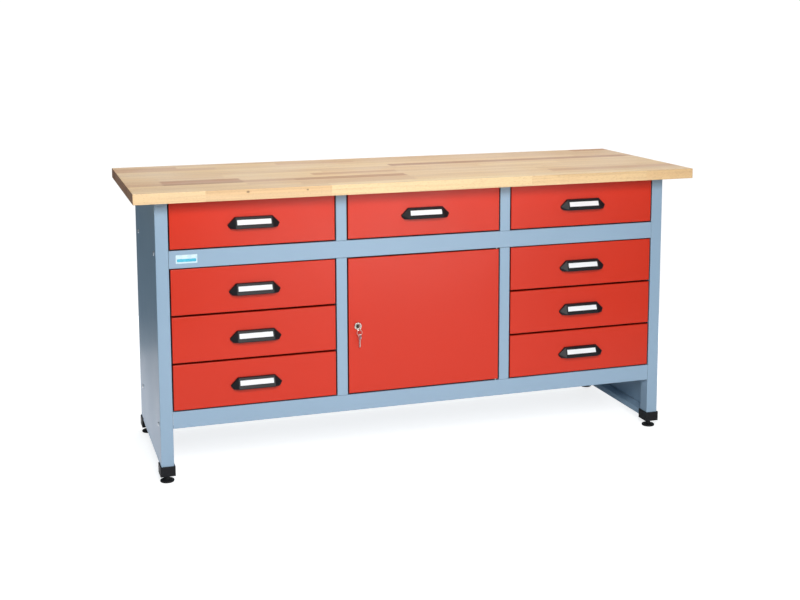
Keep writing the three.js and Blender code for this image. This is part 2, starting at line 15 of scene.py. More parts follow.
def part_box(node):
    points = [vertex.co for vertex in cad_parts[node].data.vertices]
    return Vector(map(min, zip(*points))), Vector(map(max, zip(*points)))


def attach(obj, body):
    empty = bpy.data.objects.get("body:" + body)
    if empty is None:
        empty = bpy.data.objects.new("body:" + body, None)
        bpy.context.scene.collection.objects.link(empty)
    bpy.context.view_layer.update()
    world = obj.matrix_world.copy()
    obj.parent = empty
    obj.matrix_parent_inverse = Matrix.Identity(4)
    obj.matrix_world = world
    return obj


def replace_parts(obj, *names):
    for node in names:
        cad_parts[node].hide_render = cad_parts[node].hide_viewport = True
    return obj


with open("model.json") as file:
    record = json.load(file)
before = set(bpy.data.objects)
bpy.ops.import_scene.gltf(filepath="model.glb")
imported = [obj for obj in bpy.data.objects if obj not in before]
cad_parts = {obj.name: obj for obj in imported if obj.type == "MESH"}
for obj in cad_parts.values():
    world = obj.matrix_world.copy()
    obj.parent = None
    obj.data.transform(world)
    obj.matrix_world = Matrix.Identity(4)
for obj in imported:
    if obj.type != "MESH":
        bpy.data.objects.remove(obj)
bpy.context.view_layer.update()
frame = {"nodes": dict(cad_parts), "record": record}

MM = 0.001
NODES = frame["nodes"]
BODIES = frame["record"]["behaviour"]["bodies"]
BODY_OF = {node: body for body, nodes in BODIES.items() for node in nodes}
DRAWERS = [name[len("front_"):] for name in NODES if name.startswith("front_") and "rail" not in name]
FEET = [f"{depth}_{side}" for depth in ("front", "back") for side in ("left", "right")]
HAIR = 0.02 * MM  # keeps two faces from lying in one plane


# ---- Node building ----

class Surface:
    """A material in the making: each call adds one node and returns its output."""

    def __init__(self, name, roughness, metallic=0.0):
        self.material = bpy.data.materials.new(name)
        self.material.use_nodes = True
        self.tree = self.material.node_tree
        self.shader = self.tree.nodes["Principled BSDF"]
        self.shader.inputs["Roughness"].default_value = roughness
        self.shader.inputs["Metallic"].default_value = metallic
        self.place = self.add("ShaderNodeTexCoord").outputs["Object"]

    def add(self, kind, inputs=None, **settings):
        node = self.tree.nodes.new(kind)
        for name, value in settings.items():
            setattr(node, name, value)
        for key, value in (inputs or {}).items():
            self.feed(node.inputs[key], value)
        return node

    def feed(self, socket, value):
        if isinstance(value, bpy.types.NodeSocket):
            self.tree.links.new(value, socket)
        else:
            socket.default_value = value

    def set(self, **inputs):
        for name, value in inputs.items():
            self.feed(self.shader.inputs[name.replace("_", " ")], value)

    def stretched(self, scale, shift=(0, 0, 0), place=None):
        inputs = {"Vector": place or self.place, "Scale": scale, "Location": shift}
        return self.add("ShaderNodeMapping", inputs).outputs["Vector"]

    def noise(self, scale, detail=2.0, roughness=0.5, place=None, distortion=0.0):
        inputs = {
            "Vector": place or self.place,
            "Scale": scale,
            "Detail": detail,
            "Roughness": roughness,
            "Distortion": distortion,
        }
        return self.add("ShaderNodeTexNoise", inputs).outputs["Fac"]

    def cells(self, scale, place=None, output="Distance"):
        inputs = {"Vector": place or self.place, "Scale": scale}
        return self.add("ShaderNodeTexVoronoi", inputs).outputs[output]

    def calc(self, operation, a, b=0.0, c=0.0):
        node = self.add("ShaderNodeMath", {0: a, 1: b, 2: c}, operation=operation)
        return node.outputs[0]

    def between(self, value, low, high, to_low=0.0, to_high=1.0, smooth=True):
        """Carries the range from low to high over to the range from to_low to to_high."""
        inputs = {"Value": value, "From Min": low, "From Max": high, "To Min": to_low, "To Max": to_high}
        kind = "SMOOTHSTEP" if smooth else "LINEAR"
        return self.add("ShaderNodeMapRange", inputs, interpolation_type=kind).outputs["Result"]

    def blend(self, share, a, b):
        """From a to b as the share goes from 0 to 1."""
        node = self.add("ShaderNodeMix", data_type="RGBA")
        self.feed(node.inputs["Factor"], share)
        self.feed(node.inputs[6], a)
        self.feed(node.inputs[7], b)
        return node.outputs[2]

    def ramp(self, value, stops):
        node = self.add("ShaderNodeValToRGB", {"Fac": value})
        elements = node.color_ramp.elements
        while len(elements) < len(stops):
            elements.new(0.5)
        for element, (position, colour) in zip(elements, stops):
            element.position = position
            element.color = (*colour, 1)
        return node.outputs["Color"]

    def bump(self, height, depth, strength=1.0, under=None):
        inputs = {"Height": height, "Distance": depth, "Strength": strength}
        if under is not None:
            inputs["Normal"] = under
        return self.add("ShaderNodeBump", inputs).outputs["Normal"]

    def crevices(self, reach):
        """1 deep in a gap narrower than the reach, and 0 on open faces."""
        node = self.add("ShaderNodeAmbientOcclusion", {"Distance": reach}, samples=4)
        return self.between(node.outputs["AO"], 0.75, 0.3)

    def edges(self, radius):
        """1 on edges rounder than the radius can show, and 0 on flat faces."""
        soft = self.add("ShaderNodeBevel", {"Radius": radius}, samples=4).outputs["Normal"]
        true = self.add("ShaderNodeNewGeometry").outputs["Normal"]
        node = self.add("ShaderNodeVectorMath", {0: soft, 1: true}, operation="DOT_PRODUCT")
        return self.between(node.outputs["Value"], 0.995, 0.85)


# ---- Camera, light and floor ----

CAMERA = {
    "place": (-1.185, -3.631, 1.319),
    "yaw": -18.04,
    "pitch": -7.69,
    "roll": -0.13,
    "lens": 55.86,
    "shift_y": -0.15,
}


def add_camera():
    """The photograph's view."""
    data = bpy.data.cameras.new("camera")
    data.sensor_width = 36
    data.lens = CAMERA["lens"]
    data.shift_y = CAMERA["shift_y"]
    data.clip_end = 100
    camera = bpy.data.objects.new("camera", data)
    yaw = Matrix.Rotation(math.radians(CAMERA["yaw"]), 4, "Z")
    pitch = Matrix.Rotation(math.radians(90 + CAMERA["pitch"]), 4, "X")
    roll = Matrix.Rotation(math.radians(CAMERA["roll"]), 4, "Z")
    camera.matrix_world = Matrix.Translation(CAMERA["place"]) @ yaw @ pitch @ roll
    bpy.context.scene.collection.objects.link(camera)
    bpy.context.scene.camera = camera


def add_soft_light(name, place, target, size, power, colour=(1, 1, 1)):
    """A rectangle of light at a place, turned to its target and hidden from the camera."""
    data = bpy.data.lights.new(name, "AREA")
    data.shape = "RECTANGLE"
    data.size, data.size_y = size
    data.energy = power
    data.color = colour
    light = bpy.data.objects.new(name, data)
    light.location = place
    aim = Vector(target) - Vector(place)
    light.rotation_euler = aim.to_track_quat("-Z", "Y").to_euler()
    light.visible_camera = False
    bpy.context.scene.collection.objects.link(light)


def add_world(shown, lighting, tint):
    """A white surround that lights the object less, and cooler, than it shows."""
    world = bpy.data.worlds.new("surround")
    world.use_nodes = True
    tree = world.node_tree
    background = tree.nodes["Background"]
    path = tree.nodes.new("ShaderNodeLightPath")
    colour = tree.nodes.new("ShaderNodeMix")
    colour.data_type = "RGBA"
    colour.inputs[6].default_value = (*tint, 1)
    colour.inputs[7].default_value = (1, 1, 1, 1)
    strength = tree.nodes.new("ShaderNodeMapRange")
    strength.inputs["To Min"].default_value = lighting
    strength.inputs["To Max"].default_value = shown
    tree.links.new(path.outputs["Is Camera Ray"], colour.inputs["Factor"])
    tree.links.new(colour.outputs[2], background.inputs["Color"])
    tree.links.new(path.outputs["Is Camera Ray"], strength.inputs["Value"])
    tree.links.new(strength.outputs["Result"], background.inputs["Strength"])
    bpy.context.scene.world = world


def add_floor(radius, colour, glow, shown):
    """A round sheet of white paper that glows faintly in front, and shows paler than it lights."""
    bm = bmesh.new()
    bmesh.ops.create_circle(bm, cap_ends=True, segments=96, radius=radius)
    mesh = bpy.data.meshes.new("floor")
    bm.to_mesh(mesh)
    bm.free()
    floor = bpy.data.objects.new("floor", mesh)
    bpy.context.scene.collection.objects.link(floor)
    s = Surface("floor", 0.9)
    reach = s.add("ShaderNodeVectorMath", {0: s.place}, operation="LENGTH").outputs["Value"]
    depth = s.add("ShaderNodeSeparateXYZ", {"Vector": s.place}).outputs["Y"]
    paler = s.between(reach, radius * 0.45, radius * 0.95, shown, 1.0)
    seen = s.add("ShaderNodeLightPath").outputs["Is Camera Ray"]
    # the glow starts in front of the legs, so the floor under the bench stays dark
    lit = s.between(depth, -0.15, -0.55, 0.03, glow)
    s.set(
        Base_Color=(colour, colour, colour, 1),
        Specular_IOR_Level=0.1,
        Emission_Color=(1, 1, 1, 1),
        Emission_Strength=s.calc("MULTIPLY_ADD", seen, paler, lit),
    )
    mesh.materials.append(s.material)


add_camera()
bpy.context.scene.view_settings.view_transform = "Standard"
add_world(shown=1.05, lighting=0.14, tint=(0.6, 0.84, 1.0))
add_floor(radius=1.9, colour=0.62, glow=0.3, shown=0.75)
add_soft_light("key_light", (-0.7, -3.0, 1.95), (-0.3, 0, 0.45), (0.9, 1.0), 73)
add_soft_light("edge_light", (1.5, -2.7, 2.2), (0.1, -0.2, 0.6), (0.7, 0.5), 5)
add_soft_light("haze_light", (1.35, -3.5, 0.36), (0.2, 0, 0.7), (1.7, 0.7), 7)
add_soft_light("fill_light", (0.35, -2.2, 0.34), (-0.2, 0, 0.25), (1.2, 0.5), 4.5)
add_soft_light("strip_light", (-0.98, 0.42, 0.02), (-0.98, 0.42, 2), (0.36, 1.4), 1.3, (1, 0.95, 0.98))
add_soft_light("end_light", (-2.3, 0.2, 1.05), (-0.8, 0, 0.8), (0.6, 0.4), 2.2, (1, 0.93, 0.86))
add_soft_light("top_light", (0.2, 0.4, 2.9), (0.1, 0.2, 0.8), (2.0, 1.4), 38)
add_soft_light("back_light", (1.2, 3.6, 1.3), (0.2, 0, 0.8), (4.2, 1.0), 14)


# ---- Materials ----

def powder_coat(name, colour, thin_paint_and_highlight, roughness, shine):
    """Baked powder paint: fine orange peel, cloudy colour, paler on the bends (thinner paint there, and a
    painted highlight) and painted shade in the gaps.
    """
    s = Surface(name, roughness)
    cloud = s.noise(3.0, detail=3.0)
    grain = s.noise(900.0, detail=1.0)
    shade = s.blend(s.between(cloud, 0.3, 0.7), (*[c * 0.97 for c in colour], 1), (*colour, 1))
    shade = s.blend(s.between(grain, 0.35, 0.75, 0.0, 0.06), shade, (*thin_paint_and_highlight, 1))
    # paler on the bends: thinner paint there, and a painted highlight along them
    patches = s.between(s.noise(38.0, detail=4.0), 0.35, 0.7, 0.05, 0.35)
    shade = s.blend(s.calc("MULTIPLY", s.edges(1.6 * MM), patches), shade, (*thin_paint_and_highlight, 1))
    # painted shade: the paint goes nearly black deep in a narrow gap, where light does not reach
    painted_gap_shade = s.calc("MULTIPLY", s.crevices(9 * MM), 0.85)
    shade = s.blend(painted_gap_shade, shade, (*[c * 0.12 for c in colour], 1))
    smudge = s.noise(7.0, detail=5.0, roughness=0.6)
    peel = s.noise(620.0, detail=2.0, roughness=0.45)
    sheet = s.noise(4.5, detail=1.0)
    normal = s.bump(sheet, 0.6 * MM, 0.35)
    s.set(
        Base_Color=shade,
        Roughness=s.between(smudge, 0.3, 0.75, roughness - 0.02, roughness + 0.04),
        Normal=s.bump(peel, 0.12 * MM, 0.3, normal),
        Specular_IOR_Level=shine,
    )
    return s.material


# Knots on the worktop's front edge: x, z and size.
EDGE_KNOTS = ((-0.538, 0.8325, 2.6 * MM), (-0.370, 0.831, 1.8 * MM))
KNOT = (0.20, 0.085, 0.035, 1)


def beech(name):
    """Edge-glued beech. Each stave has its own tone, seed and streaks, stored on its faces."""
    s = Surface(name, 0.42)
    tone = s.add("ShaderNodeAttribute", attribute_name="tone").outputs["Fac"]
    seed = s.add("ShaderNodeAttribute", attribute_name="seed").outputs["Fac"]
    # each stave looks at its own part of the pattern
    sideways = s.calc("MULTIPLY", seed, 3.1)
    shift = s.add("ShaderNodeCombineXYZ", {"X": seed, "Y": sideways, "Z": seed}).outputs["Vector"]
    own = s.add("ShaderNodeVectorMath", {0: s.place, 1: shift}, operation="ADD").outputs["Vector"]
    base = s.ramp(tone, [
        (0.0, (0.95, 0.69, 0.375)),
        (0.25, (0.89, 0.595, 0.30)),
        (0.5, (0.79, 0.50, 0.255)),
        (0.75, (0.62, 0.28, 0.11)),
        (1.0, (0.42, 0.16, 0.05)),
    ])
    # growth rings cut lengthwise: long, slightly wavy streaks
    long = s.stretched((1.9, 95, 95), place=own)
    rings = s.noise(1.0, detail=3.0, roughness=0.6, place=long, distortion=0.6)
    base = s.blend(s.between(rings, 0.44, 0.66, 0.0, 0.30), base, (0.52, 0.29, 0.145, 1))
    broad = s.noise(1.0, detail=2.0, place=s.stretched((1.1, 26, 26), place=own), distortion=0.4)
    base = s.blend(s.between(broad, 0.48, 0.70, 0.0, 0.30), base, (0.95, 0.72, 0.45, 1))
    base = s.blend(s.between(broad, 0.46, 0.30, 0.0, 0.26), base, (0.66, 0.37, 0.20, 1))
    # rays: the short dark dashes that mark beech
    flecks = s.noise(1.0, detail=1.0, place=s.stretched((150, 1500, 1500), place=own))
    base = s.blend(s.between(flecks, 0.58, 0.70, 0.0, 0.42), base, (0.40, 0.20, 0.095, 1))
    pores = s.noise(1.0, detail=2.0, place=s.stretched((420, 3200, 3200), place=own))
    base = s.blend(s.between(pores, 0.45, 0.8, 0.0, 0.22), base, (0.48, 0.27, 0.14, 1))
    # a few pin knots by chance, and the ones that show on the front edge
    knots = s.cells(7.5, place=s.stretched((0.55, 1, 1)))
    base = s.blend(s.between(knots, 0.026, 0.010, 0.0, 0.85), base, KNOT)
    for x, z, size in EDGE_KNOTS:
        from_knot = s.stretched((0.7, 1, 1), shift=(-0.7 * x, 0.3, -z))
        near = s.add("ShaderNodeVectorMath", {0: from_knot}, operation="LENGTH").outputs["Value"]
        base = s.blend(s.between(near, 1.8 * size, 0.4 * size, 0.0, 0.8), base, KNOT)
    # end grain: arcs of growth rings, and darker
    normal = s.add("ShaderNodeNewGeometry").outputs["Normal"]
    across = s.add("ShaderNodeSeparateXYZ", {"Vector": normal}).outputs["X"]
    on_end = s.between(s.calc("ABSOLUTE", across), 0.6, 0.8)
    arcs = s.add(
        "ShaderNodeTexWave",
        {"Vector": s.stretched((1, 26, 30), place=own), "Scale": 2.2, "Distortion": 3.2, "Detail": 2.0},
        wave_type="RINGS",
        rings_direction="X",
    ).outputs["Fac"]
    end = s.ramp(tone, [
        (0.0, (0.95, 0.50, 0.27)),
        (0.5, (0.84, 0.40, 0.20)),
        (1.0, (0.50, 0.20, 0.10)),
    ])
    end = s.blend(s.between(arcs, 0.1, 0.9, 0.0, 0.55), end, (0.40, 0.20, 0.12, 1))
    end = s.blend(s.between(pores, 0.4, 0.75, 0.0, 0.4), end, (0.30, 0.15, 0.085, 1))
    base = s.blend(on_end, base, end)
    handled = s.noise(5.0, detail=4.0)
    ridges = s.bump(rings, 0.05 * MM, 0.5)
    s.set(
        Base_Color=base,
        Roughness=s.between(handled, 0.3, 0.75, 0.36, 0.5),
        Normal=s.bump(pores, 0.06 * MM, 0.6, ridges),
        Coat_Weight=0.12,
        Coat_Roughness=0.28,
    )
    return s.material


def zinc(name):
    """Zinc-coated sheet with a faint spangle and rolling marks."""
    s = Surface(name, 0.36, metallic=0.9)
    spangle = s.cells(95.0, output="Color")
    spangle = s.add("ShaderNodeSeparateColor", {"Color": spangle}).outputs[0]
    rolled = s.noise(1.0, detail=2.0, place=s.stretched((9, 700, 700)))
    colour = s.blend(spangle, (0.44, 0.46, 0.475, 1), (0.56, 0.575, 0.585, 1))
    colour = s.blend(s.between(rolled, 0.4, 0.7, 0.0, 0.25), colour, (0.38, 0.39, 0.40, 1))
    s.set(
        Base_Color=colour,
        Roughness=s.between(spangle, 0.0, 1.0, 0.3, 0.46, smooth=False),
        Normal=s.bump(rolled, 0.03 * MM, 0.5),
    )
    return s.material


def moulded(name, colour, pale, roughness, grain_scale, depth, shine):
    """Moulded plastic or rubber with a fine eroded grain and paler, handled edges."""
    s = Surface(name, roughness)
    grain = s.noise(grain_scale, detail=3.0, roughness=0.6)
    pits = s.cells(grain_scale * 0.8)
    cloud = s.noise(22.0, detail=3.0)
    shade = s.blend(s.between(cloud, 0.3, 0.7), (*colour, 1), (*[c * 1.25 for c in colour], 1))
    shade = s.blend(s.calc("MULTIPLY", s.edges(0.8 * MM), 0.45), shade, (*pale, 1))
    height = s.calc("ADD", grain, s.calc("MULTIPLY", pits, 0.5))
    s.set(
        Base_Color=shade,
        Roughness=s.between(grain, 0.3, 0.7, roughness - 0.06, roughness + 0.08),
        Normal=s.bump(height, depth, 0.5),
        Specular_IOR_Level=shine,
    )
    return s.material


def plated(name, colour, roughness):
    """Bright plated metal, rubbed duller in patches, with fine scratches."""
    s = Surface(name, roughness, metallic=1.0)
    rubbed = s.noise(160.0, detail=4.0, roughness=0.6)
    scratches = s.noise(1.0, detail=1.0, place=s.stretched((2600, 500, 260)))
    shade = s.blend(s.between(rubbed, 0.35, 0.7), (*colour, 1), (*[c * 0.82 for c in colour], 1))
    s.set(
        Base_Color=shade,
        Roughness=s.between(rubbed, 0.3, 0.75, roughness - 0.07, roughness + 0.12),
        Normal=s.bump(scratches, 0.012 * MM, 0.5),
    )
    return s.material


def card(name, colour):
    """Plain card: matt, with a faint fibre."""
    s = Surface(name, 0.7)
    fibre = s.noise(1500.0, detail=3.0)
    cloud = s.noise(60.0, detail=2.0)
    grey, greyer = [(*[c * share for c in colour], 1) for share in (0.93, 0.9)]
    shade = s.blend(s.between(fibre, 0.35, 0.7, 0.0, 0.5), (*colour, 1), grey)
    shade = s.blend(s.between(cloud, 0.35, 0.7, 0.0, 0.2), shade, greyer)
    s.set(Base_Color=shade, Normal=s.bump(fibre, 0.02 * MM, 0.5))
    return s.material


def sticker_film(name):
    """Glossy film: a pale plate with a plain blue band, and nothing printed on it."""
    s = Surface(name, 0.25)
    band = s.add("ShaderNodeAttribute", attribute_name="band").outputs["Fac"]
    blue = s.blend(s.between(s.noise(45.0), 0.3, 0.7), (0.05, 0.46, 0.66, 1), (0.10, 0.56, 0.74, 1))
    pale = s.blend(s.between(s.noise(60.0), 0.3, 0.7), (0.60, 0.80, 0.88, 1), (0.72, 0.87, 0.92, 1))
    s.set(
        Base_Color=s.blend(band, pale, blue),
        Roughness=s.between(s.noise(120.0), 0.3, 0.7, 0.2, 0.34),
        Normal=s.bump(s.cells(900.0), 0.01 * MM, 0.2),
    )
    return s.material


PAINT = powder_coat("frame_paint", (0.30, 0.43, 0.562), (0.43, 0.55, 0.65), 0.38, 0.5)
RED = powder_coat("red_paint", (0.65, 0.030, 0.009), (0.70, 0.07, 0.03), 0.30, 0.36)
WOOD = beech("beech")
ZINC = zinc("zinc_steel")
PLASTIC = moulded("black_plastic", (0.007, 0.007, 0.009), (0.03, 0.03, 0.036), 0.46, 1400, 0.05 * MM, 0.3)
RUBBER = moulded("black_rubber", (0.008, 0.008, 0.009), (0.03, 0.03, 0.032), 0.6, 900, 0.08 * MM, 0.5)
NICKEL = plated("nickel", (0.80, 0.77, 0.71), 0.26)
BRIGHT_ZINC = plated("bright_zinc", (0.78, 0.83, 0.88), 0.4)
# the lock plug's brass, painted dark as the shade inside its sunk keyway
BRASS_WITH_PAINTED_SHADE = plated("brass_with_painted_shade", (0.10, 0.085, 0.06), 0.42)
CARD = card("label_card", (0.93, 0.94, 0.95))
FILM = sticker_film("sticker_film")


# ---- Pieces ----

def new_piece(name, bm, material, body, rounding=0.0, steps=3, angle=32):
    """A finished piece from mesh code: smooth faces, rounded edges, on its body."""
    bmesh.ops.recalc_face_normals(bm, faces=bm.faces)
    mesh = bpy.data.meshes.new(name)
    bm.to_mesh(mesh)
    bm.free()
    piece = bpy.data.objects.new(name, mesh)
    bpy.context.scene.collection.objects.link(piece)
    mesh.materials.append(material)
    finish_edges(piece, rounding, steps, angle)
    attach(piece, body)
    return piece


def finish_edges(piece, rounding, steps, angle):
    """Smooth shading, with every edge sharper than the angle rounded off."""
    piece.data.shade_smooth()
    if rounding:
        bevel = piece.modifiers.new("rounding", "BEVEL")
        bevel.width = rounding
        bevel.segments = steps
        bevel.limit_method = "ANGLE"
        bevel.angle_limit = math.radians(angle)
        bevel.miter_outer = "MITER_ARC"
        bevel.harden_normals = False
    normals = piece.modifiers.new("normals", "WEIGHTED_NORMAL")
    normals.keep_sharp = False
    normals.weight = 100


def dress(node, material, rounding, steps=2, angle=32):
    """Gives a CAD node its material and softens its cut edges. Its mesh stays as it is."""
    piece = NODES[node]
    piece.data.materials.clear()
    piece.data.materials.append(material)
    weld = piece.modifiers.new("weld", "WELD")
    weld.merge_threshold = 0.01 * MM
    flat = piece.modifiers.new("flat", "DECIMATE")
    flat.decimate_type = "DISSOLVE"
    flat.angle_limit = math.radians(0.5)
    finish_edges(piece, rounding, steps, angle)


def turned(profile, segments):
    """A closed solid turned about Z from (radius, height) points. They start and end on the axis, or
    the last joins the first."""
    bm = bmesh.new()
    turn = [math.tau * i / segments for i in range(segments)]
    rings = []
    for radius, height in profile:
        angles = turn if radius else [0]
        rings.append([bm.verts.new((radius * math.cos(a), radius * math.sin(a), height)) for a in angles])
    following = rings[1:] + (rings[:1] if profile[0][0] else [])
    for low, high in zip(rings, following):
        for i in range(segments):
            j = (i + 1) % segments
            corners = [ring[k % len(ring)] for ring, k in ((low, i), (low, j), (high, j), (high, i))]
            bm.faces.new(list(dict.fromkeys(corners)))
    return bm


def cut_from_sheet(loops, thick, edge):
    """A flat piece in the XY plane with soft edges. The first loop is its outline, the others are holes."""
    outline = bpy.data.curves.new("outline", "CURVE")
    outline.dimensions = "2D"
    outline.fill_mode = "BOTH"
    outline.extrude = thick / 2 - edge
    outline.bevel_depth = edge
    outline.bevel_resolution = 1
    outline.offset = -edge
    for loop in loops:
        spline = outline.splines.new("POLY")
        spline.points.add(len(loop) - 1)
        spline.use_cyclic_u = True
        for point, (x, y) in zip(spline.points, loop):
            point.co = (x, y, 0, 1)
    holder = bpy.data.objects.new("outline", outline)
    mesh = bpy.data.meshes.new_from_object(holder)
    bm = bmesh.new()
    bm.from_mesh(mesh)
    bmesh.ops.remove_doubles(bm, verts=bm.verts, dist=0.002 * MM)
    bpy.data.meshes.remove(mesh)
    bpy.data.objects.remove(holder)
    bpy.data.curves.remove(outline)
    return bm


def arc(centre, radius, start, end, steps):
    """Points of an arc from one angle to the other, in degrees."""
    turns = [math.radians(start + (end - start) * k / steps) for k in range(steps + 1)]
    return [(centre[0] + radius * math.cos(t), centre[1] + radius * math.sin(t)) for t in turns]


# ---- The worktop, stave by stave ----

STAVE_ROWS = 13
STAVE_LENGTHS = (0.24, 0.66)
SHORTEST_STAVE = 0.12
STAVE_TONES = (0.16, 0.5)
FINGER = {"count": 5, "reach": 3.5 * MM}
# Chosen staves, by row from the front: each ends at x and has a tone, and the last runs on.
CHOSEN = {
    0: [(-0.655, 0.18), (-0.30, 0.32), (0.31, 0.04), (0.69, 0.14), (None, 0.26)],
    1: [(-0.70, 0.22), (-0.37, 0.28), (-0.03, 0.5), (0.41, 0.2), (None, 0.42)],
    2: [(-0.52, 0.2), (-0.03, 0.44), (0.42, 0.38), (None, 0.62)],
    3: [(-0.75, 0.6), (-0.52, 0.93), (-0.37, 0.66), (-0.03, 0.84), (0.40, 0.3), (None, 0.36)],
    4: [(-0.75, 0.5), (-0.522, 0.82), (-0.16, 0.2), (0.44, 0.34), (None, 0.3)],
    5: [(-0.56, 0.42), (-0.295, 0.24), (-0.03, 0.64), (0.45, 0.42), (None, 0.34)],
    8: [(-0.42, 0.3), (-0.01, 0.22), (0.37, 0.9), (0.82, 0.84), (None, 0.6)],
    10: [(-0.545, 0.62), (-0.20, 0.3), (0.36, 0.44), (None, 0.5)],
    11: [(-0.66, 0.66), (-0.345, 0.2), (-0.09, 0.58), (0.44, 0.46), (None, 0.5)],
    12: [(-0.50, 0.46), (0.05, 0.5), (0.71, 0.5), (None, 0.8)],
}


def stave_rows(lo, hi, chance):
    """Each row of staves as its joints' x, both ends included, and the staves' tones."""
    rows = []
    for r in range(STAVE_ROWS):
        joints, tones = [lo.x], []
        if r in CHOSEN:
            joints += [hi.x if x is None else x for x, _ in CHOSEN[r]]
            tones = [tone for _, tone in CHOSEN[r]]
        else:
            reach = chance.uniform(SHORTEST_STAVE, STAVE_LENGTHS[1])
            while joints[-1] + reach < hi.x - SHORTEST_STAVE:
                joints.append(round(joints[-1] + reach, 4))
                reach = chance.uniform(*STAVE_LENGTHS)
            joints.append(hi.x)
            tones = [chance.uniform(*STAVE_TONES) for _ in joints[1:]]
        rows.append((joints, tones))
    return rows


def add_worktop():
    """One closed slab whose faces are divided into staves, each with its tone and seed."""
    lo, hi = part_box("worktop")
    chance = random.Random(7)
    rows = stave_rows(lo, hi, chance)
    width = (hi.y - lo.y) / len(rows)
    bm = bmesh.new()
    tone = bm.faces.layers.float.new("tone")
    seed = bm.faces.layers.float.new("seed")
    corners = {}

    def corner(x, y, z):
        key = (round(x, 6), round(y, 6), round(z, 6))
        if key not in corners:
            corners[key] = bm.verts.new((x, y, z))
        return corners[key]

    def face(points, own_tone, own_seed):
        made = bm.faces.new([corner(*p) for p in points])
        made[tone], made[seed] = own_tone, own_seed

    def fingers(x, y0, y1):
        """A joint's zigzag from y0 to y1; straight at the worktop's ends."""
        if x in (lo.x, hi.x):
            return [(x, y0), (x, y1)]
        steps = FINGER["count"] * 2
        inner = []
        for k in range(1, steps):
            reach = FINGER["reach"] * (1 if k % 2 else -1)
            inner.append((x + reach, y0 + (y1 - y0) * k / steps))
        return [(x, y0), *inner, (x, y1)]

    for r, (joints, tones) in enumerate(rows):
        y0, y1 = lo.y + r * width, lo.y + (r + 1) * width
        first, last = r == 0, r == len(rows) - 1
        below = sorted(set(joints) | set([] if first else rows[r - 1][0]))
        above = sorted(set(joints) | set([] if last else rows[r + 1][0]))
        for x0, x1, own_tone in zip(joints, joints[1:], tones):
            own_seed = chance.uniform(0, 50)
            low = [x for x in below if x0 < x < x1]
            high = [x for x in above if x0 < x < x1]
            outline = fingers(x0, y0, y1)[::-1] + [(x, y0) for x in low] + fingers(x1, y0, y1)
            outline += [(x, y1) for x in reversed(high)]
            face([(x, y, hi.z) for x, y in outline], own_tone, own_seed)
            face([(x, y, lo.z) for x, y in reversed(outline)], own_tone, own_seed)
            for y, between, outer in ((lo.y, low, first), (hi.y, high, last)):
                edge = [x0, *between, x1] if outer else []
                for a, b in zip(edge, edge[1:]):
                    face([(a, y, lo.z), (b, y, lo.z), (b, y, hi.z), (a, y, hi.z)], own_tone, own_seed)
            for x in {x0, x1} & {lo.x, hi.x}:
                face([(x, y0, lo.z), (x, y1, lo.z), (x, y1, hi.z), (x, y0, hi.z)], own_tone, own_seed)
    body = BODY_OF["worktop"]
    piece = new_piece("worktop_staves", bm, WOOD, body, rounding=1.6 * MM, angle=40)
    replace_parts(piece, "worktop")


# ---- Drawer handles and label cards ----

HANDLE = {
    "face_half": 52 * MM,
    "tip_half": 74 * MM,
    "corner_half": 67 * MM,
    "top": 16 * MM,
    "tip": -5 * MM,
    "bottom": -16 * MM,
    "top_reach": 7 * MM,
    "bottom_reach": 19 * MM,
    "tip_reach": 4 * MM,
    "tip_height": 5 * MM,
    "corner_reach": 9 * MM,
    "lip": 2 * MM,
    "taper": 1 * MM,
    "wall": 2.2 * MM,
}
WINDOW = {"side": 5.5 * MM, "top": 2.8 * MM, "bottom": 11.0 * MM, "depth": 1.5 * MM}
LABEL = {"gap": 0.5 * MM, "lift": 0.1 * MM, "thick": 0.35 * MM, "bow": 0.25 * MM, "columns": 16}


def handle_shell():
    """The cup's skin: a hull without its back and its underside, with a window sunk into its face."""
    h = HANDLE
    half = [
        (h["face_half"] + 2 * h["taper"], 0, h["top"]),
        (h["tip_half"], 0, h["tip"]),
        (h["tip_half"], -h["tip_reach"], h["tip"]),
        (h["tip_half"] - h["taper"], 0, h["tip"] - h["tip_height"]),
        (h["corner_half"], 0, h["bottom"]),
        (h["corner_half"], -h["corner_reach"], h["bottom"]),
        (h["face_half"], -h["top_reach"], h["top"] - h["taper"]),
        (h["face_half"] + h["taper"], -h["bottom_reach"], h["bottom"] + h["lip"]),
        (h["face_half"] - h["taper"], -h["bottom_reach"], h["bottom"]),
    ]
    bm = bmesh.new()
    for x, y, z in half:
        bm.verts.new((x, y, z))
        bm.verts.new((-x, y, z))
    hull = bmesh.ops.convex_hull(bm, input=bm.verts)
    loose = [v for v in hull["geom_interior"] + hull["geom_unused"] if isinstance(v, bmesh.types.BMVert)]
    bmesh.ops.delete(bm, geom=loose, context="VERTS")
    bmesh.ops.dissolve_limit(bm, angle_limit=math.radians(4), verts=bm.verts, edges=bm.edges)
    bmesh.ops.recalc_face_normals(bm, faces=bm.faces)
    gone = [f for f in bm.faces if f.normal.y > 0.95 or f.normal.z < -0.95]
    bmesh.ops.delete(bm, geom=gone, context="FACES")
    face = max(bm.faces, key=lambda f: -f.normal.y * f.calc_area())
    bmesh.ops.inset_individual(bm, faces=[face], thickness=WINDOW["side"])
    fall = h["bottom"] + h["lip"] + h["taper"] - h["top"]
    slope = Vector((0, h["top_reach"] - h["bottom_reach"], fall)).normalized()
    middle = face.calc_center_median()
    for v in face.verts:
        down = (v.co - middle).dot(slope)
        target = WINDOW["bottom"] if down > 0 else WINDOW["top"]
        v.co -= slope * math.copysign(target - WINDOW["side"], down)
    sunk = bmesh.ops.extrude_discrete_faces(bm, faces=[face])["faces"][0]
    bmesh.ops.translate(bm, vec=-sunk.normal * WINDOW["depth"], verts=sunk.verts)
    pocket = (sunk.calc_center_median().copy(), sunk.normal.copy(), [v.co.copy() for v in sunk.verts])
    return bm, pocket


